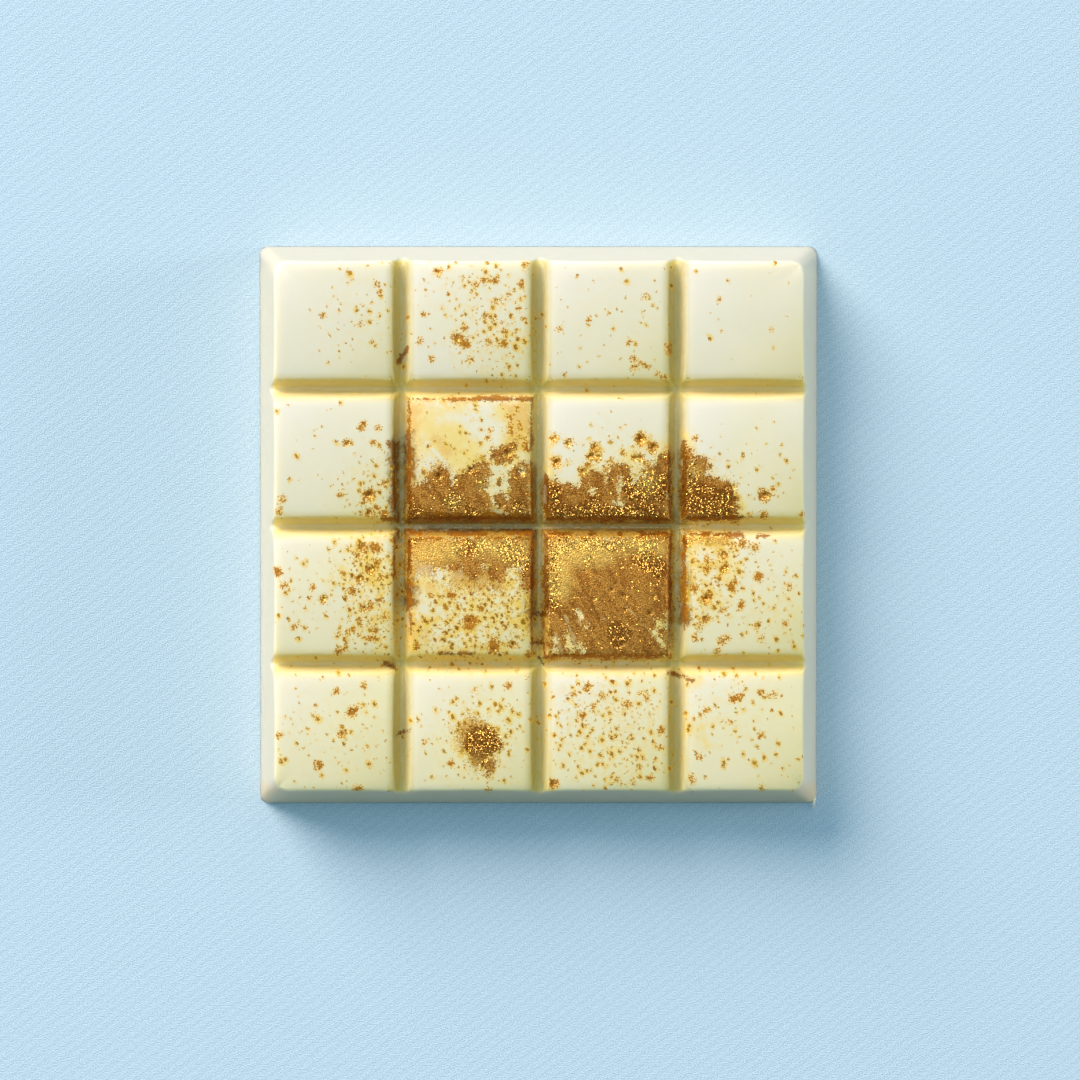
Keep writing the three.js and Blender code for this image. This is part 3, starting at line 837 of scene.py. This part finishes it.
# Golden painted shade in the grooves, darker in the upright ones
GROOVE_PAINTED_SHADE_GOLD = colour(0.845, 0.635, 0.15)
GROOVE_PAINTED_SHADE_DARK_GOLD = colour(0.61, 0.49, 0.14)
STAIN_YELLOW = colour(0.95, 0.69, 0.16)
STAIN_AMBER = colour(0.86, 0.44, 0.035)
HALO_YELLOW = colour(0.95, 0.62, 0.09)
MURK = colour(0.27, 0.22, 0.11)
POOL_AMBER = colour(0.42, 0.135, 0.0)
POOL_BROWN = colour(0.17, 0.050, 0.0)
DUST_BROWN = colour(0.34, 0.108, 0.008)
DUST_TAN = colour(0.75, 0.335, 0.055)
# Paler gold dust, partly a painted highlight
DUST_GOLD_AND_HIGHLIGHT = colour(1.0, 0.62, 0.13)
SPECK_BROWN = colour(0.36, 0.115, 0.0)
SPECK_AMBER = colour(0.56, 0.26, 0.01)
BLOT_BROWN = colour(0.27, 0.075, 0.0)
BLOT_GOLD = colour(0.62, 0.235, 0.012)
# Painted shade on the upper left side of each dent
PIT_PAINTED_SHADE_BROWN = colour(0.30, 0.080, 0.0)
# Painted highlight in the grooves
GROOVE_HIGHLIGHT_PALE = colour(0.95, 0.80, 0.45)
FLAKE_BRIGHT = colour(0.95, 0.56, 0.12)
FLAKE_DARK = colour(0.20, 0.07, 0.008)

# Scattered specks, from fine to coarse: spacing and radius in millimetres, and the share that is there
SPECK_SIZES = ((0.6, 0.085, 0.5), (0.95, 0.2, 0.55), (1.9, 0.25, 0.3))
SPECK_OFFSET = (31.7, 12.3, 0.0)  # from the pattern of one size to the next
SPECK_SLANT = math.radians(-60)  # the way that the specks are drawn out
SPECK_STRETCH = 1.35
SPECK_BEND = 0.7  # how far the noise bends them out of round
SPECK_LEAST = 0.25  # radius of the smallest of a size, by the largest's growth
SPECK_HALO = 2.4  # radius of the yellow round a speck, by its own
HAZE_MOST = 1.6
STREAK_SHRINK = (0.3, 1.1, 1)  # the streaks run along the slant
FLAKE_SPACING = 0.13

# How much each mark hides what is below it
STAIN_COVER = 0.78
AMBER_COVER = 0.75
MURK_COVER = 0.7
HAZE_COVER = 0.55
HALO_COVER = 0.72
DUST_HALO_COVER = 0.5
THIN_COVER = 0.62
GOLD_AND_HIGHLIGHT_COVER = 0.66
OUTLINE_COVER = 0.9
PIT_PAINTED_HIGHLIGHT_COVER = 0.8
FLAKE_COVER = 0.85
PIT_PAINTED_SHADE_COVER = 0.85
GROOVE_HIGHLIGHT_COVER = 0.55

# The edges of each mark: how far the coarse, fine and finest noise move them in and out, how soft they
# are, and how far inside the mark they lie
EDGES = {
    "scratch": ((0.8, 0.4, 0.3), 0.1, 0.0),
    "stain": ((1.4, 0.6, 0.4), 1.5, 0.0),
    "amber": ((3.0, 1.6, 0.8), 0.9, 0.0),
    "murk": ((2.0, 0.8, 0.0), 0.7, -0.35),
    "pool": ((4.4, 2.4, 1.0), 0.35, 0.1),
    "blot": ((1.3, 1.6, 1.3), 0.1, 0.02),
    "blot middle": ((0.8, 1.6, 0.6), 0.15, 0.3),
    "blot halo": ((1.0, 0.8, 0.6), 0.35, -0.25),
    "dust": ((2.4, 1.8, 1.6), 0.2, 0.0),
    "dust halo": ((2.0, 1.0, 0.0), 0.6, -0.5),
    "thin": ((1.5, 2.4, 5.0), 0.4, 0.5),
    "glitter": ((1.8, 1.2, 0.0), 0.5, 0.0),
    "gold_and_painted_highlight": ((2.5, 1.0, 0.0), 1.6, 0.0),
    "outline": ((1.2, 0.9, 0.6), 0.14, 0.0),
    "pit_painted_highlight": ((0.6, 0.8, 0.8), 0.1, 0.0),
    "pit_painted_shade": ((0.6, 0.8, 0.8), 0.12, 0.0),
    "groove_painted_highlight": ((0.8, 0.4, 0.0), 0.08, 0.0),
}

# Gloss and relief
ROUGH_CREAM = (0.36, 0.46)
ROUGH_COVERED = 0.52
ROUGH_FLAKE = 0.34
METAL_DUST = 0.62
METAL_WET = 0.12
METAL_FLAKE = 0.95
GRAIN_HEIGHT = 0.09
GRAIN_STRENGTH = (0.15, 1.0)  # on the bare chocolate and in the powder
FLAKE_TILT = 0.85
DUST_TILT = 0.22
CREAM_IOR = 1.34
GLOW_DEPTH = 2.4  # how far light spreads below the surface
GLOW_RADII = (1.0, 0.85, 0.35)  # the same in red, green and blue, by that depth


class Chocolate(Graph):
    """The bar's graph. Each step paints over the tone that the steps before it left."""

    def __init__(self):
        super().__init__("white_chocolate")
        self.place = self.in_millimetres()
        turn = {"Vector": self.place, "Angle": -SPECK_SLANT}
        self.turned = self.node("VectorRotate", turn, rotation_type="Z_AXIS").outputs[0]
        self.middle = self.noise(self.place, 0.7, 2, 0.6)
        self.fine = self.noise(self.place, 2.6, 1, 0.65)
        self.grain = self.noise(self.place, 5.0, 0)
        streaks = self.noise(self.vector("MULTIPLY", {0: self.turned, 1: STREAK_SHRINK}), 1.0, 1, 0.6)
        self.streaks = self.math("SUBTRACT", streaks, 0.5)
        self.scratch = self.mark("scratch")
        self.tone = CREAM

    def mark(self, kind, depth=None):
        """Where a mark is, with a ragged edge. Its depth is that of the layer of its own name, or another."""
        amounts, softness, inwards = EDGES[kind]
        wander = 0.0
        for noise, amount in zip((self.middle, self.fine, self.grain), amounts):
            if amount:
                wander = self.sum(self.math("SUBTRACT", noise, 0.5), amount, wander)
        ragged = self.math("ADD", self.layer(kind) if depth is None else depth, wander)
        return self.ramp(ragged, inwards - softness, inwards + softness)

    def paint(self, share, tone):
        self.tone = self.mix(share, self.tone, tone)

    def paint_cream(self):
        """Warmer in drifts and down the bar. Painted highlight to the upper left of each square and painted
        shade to its lower right, golden painted shade in the grooves, and painted shade on the side walls
        towards +Y and -Y.
        """
        upright = self.node("SeparateXYZ", {0: self.place}).outputs["Y"]
        down_the_bar = self.ramp(upright, SIDE / 2, -SIDE / 2, 0.0, 0.9)
        drifts = self.ramp(self.layer("drift"), 0.2, 0.9, -0.15, 0.25)
        self.paint(self.math("ADD", down_the_bar, drifts), CREAM_WARM)
        # Painted light: each square is painted paler at its upper left as a highlight and more golden at its
        # lower right as shade
        lean = self.layer("lean")
        self.paint(self.ramp(lean, -1.0, 0.0, 0.5, 0.0), CREAM_PAINTED_HIGHLIGHT)
        self.paint(self.ramp(lean, 0.0, 1.0, 0.0, 0.5), CREAM_PAINTED_SHADE)
        uneven = self.ramp(self.middle, 0.3, 0.7, 0.85, 1.05)
        # Painted shade: the groove walls turned away from the light are painted golden, darker in the upright
        # grooves
        self.paint(self.times(self.layer("painted_groove_shade"), uneven), GROOVE_PAINTED_SHADE_GOLD)
        self.paint(self.times(self.layer("painted_dark_groove_shade"), uneven), GROOVE_PAINTED_SHADE_DARK_GOLD)
        # Painted shade: the side walls towards +Y and -Y get their own darker and warmer tones
        begins, full = (SIDE / 2 - inset for inset in SIDE_PAINTED_SHADE_FROM)
        side_tone_and_painted_shade = self.mix(self.ramp(upright, -begins, -full), SIDE_CHALK, SIDE_PAINTED_SHADE_LOW)
        side_tone_and_painted_shade = self.mix(self.ramp(upright, begins, full), side_tone_and_painted_shade, SIDE_PAINTED_SHADE_HIGH)
        self.paint(self.layer("side"), side_tone_and_painted_shade)

    def paint_stains(self):
        """Thin stains, amber where they are deeper, and paler in the scratches."""
        stain = self.mark("stain", self.sum(self.streaks, 2.2, self.layer("stain")))
        amber = self.mark("amber")
        tone = self.mix(self.times(amber, 0.8), STAIN_YELLOW, STAIN_AMBER)
        share = self.most(self.times(stain, STAIN_COVER), self.times(amber, AMBER_COVER))
        self.paint(self.times(share, self.sum(self.scratch, -0.8, 1.0)), tone)

    def paint_pools(self):
        """Brown along the grooves, thinner on their floor, in a wider murk."""
        depth = self.layer("pool")
        self.paint(self.times(self.mark("murk", depth), MURK_COVER), MURK)
        on_floor = self.ramp(self.layer("groove"), 0.86, 0.98, 0.96, 0.2)
        self.pool = self.times(self.mark("pool", depth), on_floor)
        self.paint(self.pool, self.mix(self.ramp(self.fine, 0.42, 0.62), POOL_BROWN, POOL_AMBER))

    def speck_place(self):
        """The places of the specks' pattern, drawn out along the slant and bent by the noise."""
        drawn_out = self.vector("MULTIPLY", {0: self.turned, 1: (1 / SPECK_STRETCH, 1, 1)})
        bend = self.node("CombineXYZ", {"X": self.fine, "Y": self.grain}).outputs[0]
        return self.vector("ADD", {0: drawn_out, 1: self.vector("SCALE", {0: bend, "Scale": SPECK_BEND})})

    def specks_of_size(self, place, spacing, radius, share):
        """Body and halo of the specks of one size, which cells have one, and the hue of each cell."""
        cells = self.cells(place, 1 / spacing)
        chance, size, hue = self.split(cells.outputs["Color"])[:3]
        distance = self.times(cells.outputs["Distance"], spacing)
        own_radius = self.sum(size, radius, SPECK_LEAST * radius)
        body = self.ramp(self.math("SUBTRACT", own_radius, distance), -0.06, 0.04)
        halo = self.ramp(self.math("SUBTRACT", self.times(own_radius, SPECK_HALO), distance), -0.2, 0.22)
        chosen = self.math("LESS_THAN", chance, self.times(self.layer("specks"), share))
        return self.times(body, chosen), self.times(halo, chosen), chosen, hue

    def paint_specks(self):
        """Scattered specks, and blots of brown and gold grains, all with a yellow halo."""
        density = self.layer("specks")
        haze = self.ramp(self.middle, 0.42, 0.70, 0.0, HAZE_COVER)
        self.paint(self.times(self.math("MINIMUM", density, HAZE_MOST), haze), HALO_YELLOW)
        self.specks, halo, hue = 0.0, 0.0, 0.0
        place = self.speck_place()
        for number, size in enumerate(SPECK_SIZES):
            offset = tuple(number * step for step in SPECK_OFFSET)
            shifted = self.vector("ADD", {0: place, 1: offset})
            body, around, chosen, own_hue = self.specks_of_size(shifted, *size)
            self.specks = self.most(body, self.specks)
            halo = self.most(around, halo)
            hue = self.blend(chosen, hue, own_hue)
        depth = self.layer("blot")
        self.blot = self.mark("blot", depth)
        self.blot_middle = self.mark("blot middle", depth)
        halo = self.most(halo, self.mark("blot halo", depth))
        self.paint(self.times(halo, HALO_COVER), HALO_YELLOW)
        hue = self.sum(density, 0.35, self.math("SUBTRACT", hue, 0.3))
        self.paint(self.specks, self.mix(hue, SPECK_AMBER, SPECK_BROWN))
        grain = self.sum(self.blot_middle, 0.12, self.grain)
        self.paint(self.blot, self.mix(self.ramp(grain, 0.38, 0.60), BLOT_BROWN, BLOT_GOLD))

    def paint_dust(self):
        """A rough metallic powder of flakes that each have their own tone."""
        self.dust_depth = self.layer("dust")
        scratched = self.sum(self.scratch, -0.45, 1.0)
        self.dust = self.times(self.mark("dust", self.dust_depth), scratched)
        self.paint(self.times(self.mark("dust halo", self.dust_depth), DUST_HALO_COVER), HALO_YELLOW)
        self.flake_random = self.cells(self.place, 1 / FLAKE_SPACING).outputs["Color"]
        self.lucky, self.tint, shade = self.split(self.flake_random)[:3]
        self.coarse = self.mark("glitter")
        shade = self.sum(self.streaks, 1.6, shade)
        shade = self.sum(self.coarse, -0.8, shade)
        tone = self.mix(self.ramp(shade, 0.0, 1.0), DUST_BROWN, DUST_TAN)
        # Paler gold on the dust, partly a painted highlight
        tone = self.mix(self.times(self.mark("gold_and_painted_highlight"), GOLD_AND_HIGHLIGHT_COVER), tone, DUST_GOLD_AND_HIGHLIGHT)
        self.paint(self.most(self.dust, self.times(self.mark("thin"), THIN_COVER)), tone)

    def paint_outline(self):
        """Thin dark lines along the edges of the dusty squares."""
        self.outline = self.mark("outline")
        tone = self.mix(self.ramp(self.middle, 0.38, 0.6), BLOT_BROWN, POOL_AMBER)
        self.paint(self.times(self.outline, OUTLINE_COVER), tone)

    def paint_flakes(self):
        """Coarse flakes that glitter, and the painted highlight and painted shade on the lower right and
        upper left sides of the dents.
        """
        golden = self.most(self.dust, self.times(self.blot_middle, 0.8))
        pit_painted_highlight = self.mark("pit_painted_highlight")
        share = self.times(golden, self.sum(self.coarse, 0.35, 0.02))
        share = self.most(share, self.times(pit_painted_highlight, 0.45))
        self.flake = self.math("LESS_THAN", self.lucky, share)
        # Painted highlight on the lower right side of each dent
        painted_lit = self.times(pit_painted_highlight, self.most(golden, self.blot))
        self.paint(self.times(painted_lit, PIT_PAINTED_HIGHLIGHT_COVER), FLAKE_BRIGHT)
        tone = self.mix(self.ramp(self.tint, 0.35, 1.0), FLAKE_DARK, FLAKE_BRIGHT)
        self.paint(self.times(self.flake, FLAKE_COVER), tone)
        # Painted shade on the upper left side of each dent
        self.paint(self.times(self.times(self.mark("pit_painted_shade"), golden), PIT_PAINTED_SHADE_COVER), PIT_PAINTED_SHADE_BROWN)

    def paint_groove_highlights(self):
        """Painted highlights: pale lines along the grooves."""
        # Painted highlight: pale lines where the groove floors catch the light
        self.paint(self.times(self.mark("groove_painted_highlight"), GROOVE_HIGHLIGHT_COVER), GROOVE_HIGHLIGHT_PALE)

    def finished(self):
        """The material, with its gloss, its relief and the light that sinks into the bare chocolate."""
        wet = self.most(self.most(self.pool, self.outline), self.most(self.specks, self.blot))
        covered = self.most(self.dust, wet)
        metallic = self.most(self.times(self.dust, METAL_DUST), self.times(wet, METAL_WET))
        metallic = self.most(metallic, self.times(self.flake, METAL_FLAKE))
        rough = self.blend(covered, self.ramp(self.middle, 0.2, 0.8, *ROUGH_CREAM), ROUGH_COVERED)
        rough = self.blend(self.flake, rough, ROUGH_FLAKE)
        grain = self.bump(self.grain, GRAIN_HEIGHT, self.ramp(self.dust_depth, -0.4, 0.4, *GRAIN_STRENGTH))
        tilt = self.vector("SUBTRACT", {0: self.flake_random, 1: (0.5, 0.5, 0.5)})
        amount = self.sum(self.flake, FLAKE_TILT, self.times(self.dust, DUST_TILT))
        tilt = self.vector("SCALE", {0: tilt, "Scale": amount})
        inputs = {
            "Base Color": self.tone,
            "Metallic": metallic,
            "Roughness": rough,
            "IOR": CREAM_IOR,
            "Normal": self.vector("NORMALIZE", {0: self.vector("ADD", {0: grain, 1: tilt})}),
            "Subsurface Weight": self.math("SUBTRACT", 1.0, covered),
            "Subsurface Radius": GLOW_RADII,
            "Subsurface Scale": GLOW_DEPTH * MM,
        }
        return self.surface(inputs, subsurface_method="BURLEY")


def chocolate_material():
    g = Chocolate()
    g.paint_cream()
    g.paint_stains()
    g.paint_pools()
    g.paint_specks()
    g.paint_dust()
    g.paint_outline()
    g.paint_flakes()
    g.paint_groove_highlights()
    return g.finished()


# The studio
FLOOR_SIZE = 3.0
FLOOR_BLUE = colour(0.67, 0.835, 0.92)
FLOOR_SHADE = colour(0.52, 0.67, 0.76)
TWILL_SLANT = math.radians(37)  # the way that the floor's fine ridges run
TWILL_SPACING = 1.4
TWILL_STRENGTH = 0.05
FLOOR_RELIEF = 0.07
FLOOR_ROUGHNESS = 0.8
SENSOR = 36.0
LENS = 185.6
LOOK_AT = Vector((0.24, -2.43, 0)) * MM
CAMERA_FROM = Vector((-8, 22, 900)) * MM
AIR_TINT = colour(0.52, 0.92, 1.15)
AIR_STRENGTH = 0.325
LAMP_DISTANCE = 4.0

# The way towards each lamp from the bar, the lamp's size in metres, its power in watts and its tint
LAMPS = {
    "key": ((-60, 75, 49), 2.8, 205.0, (1.13, 1.01, 0.95)),
    "window": ((-25, 40, 110), 2.6, 17.0, (0.80, 1.0, 1.22)),
    "fill": ((85, 8, 14), 1.1, 60.0, (1.10, 1.03, 1.02)),
}


def floor_material():
    g = Graph("pale_blue_paper")
    place = g.in_millimetres()
    across = (-math.sin(TWILL_SLANT), math.cos(TWILL_SLANT), 0)
    phase = g.node("VectorMath", {0: place, 1: across}, operation="DOT_PRODUCT").outputs["Value"]
    twill = g.math("SINE", g.times(phase, 2 * math.pi / TWILL_SPACING))
    weave = g.sum(twill, TWILL_STRENGTH, g.noise(place, 4.5, 0))
    tone = g.mix(g.ramp(weave, 0.2, 0.8), FLOOR_SHADE, FLOOR_BLUE)
    bump = g.bump(weave, FLOOR_RELIEF, 1.0)
    return g.surface({"Base Color": tone, "Roughness": FLOOR_ROUGHNESS, "Normal": bump})


def add_floor():
    half = FLOOR_SIZE / 2
    corners = [(-half, -half, 0), (half, -half, 0), (half, half, 0), (-half, half, 0)]
    mesh = bpy.data.meshes.new("floor")
    mesh.from_pydata(corners, [], [(0, 1, 2, 3)])
    add_object("floor", mesh, floor_material())


def aimed(place, target):
    """A transform at a place whose -Z looks at the target, with +Y as near up as can be."""
    back = (place - target).normalized()
    right = Vector((0, 1, 0)).cross(back).normalized()
    turn = Matrix((right, back.cross(right), back)).transposed()
    return Matrix.Translation(place) @ turn.to_4x4()


def add_lamp(name, towards, size, power, tint):
    light = bpy.data.lights.new(name, "AREA")
    light.shape = "DISK"
    light.size = size
    light.energy = power
    light.color = tint
    lamp = bpy.data.objects.new(name, light)
    lamp.matrix_world = aimed(Vector(towards).normalized() * LAMP_DISTANCE, Vector((0, 0, 0)))
    bpy.context.scene.collection.objects.link(lamp)


def add_camera():
    lens = bpy.data.cameras.new("camera")
    lens.type = "PERSP"
    lens.sensor_width = SENSOR
    lens.lens = LENS
    lens.dof.use_dof = False
    camera = bpy.data.objects.new("camera", lens)
    camera.matrix_world = aimed(LOOK_AT + CAMERA_FROM, LOOK_AT)
    bpy.context.scene.collection.objects.link(camera)
    bpy.context.scene.camera = camera


def add_world():
    world = bpy.data.worlds.new("studio")
    world.use_nodes = True
    background = world.node_tree.nodes["Background"]
    background.inputs["Color"].default_value = AIR_TINT
    background.inputs["Strength"].default_value = AIR_STRENGTH
    bpy.context.scene.world = world


bar = add_object("bar_dressed", tablet_mesh(), chocolate_material())
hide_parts("bar")
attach(bar, "root")

add_floor()
for lamp_name, lamp in LAMPS.items():
    add_lamp(lamp_name, *lamp)
add_world()
add_camera()
bpy.context.scene.view_settings.view_transform = "Standard"
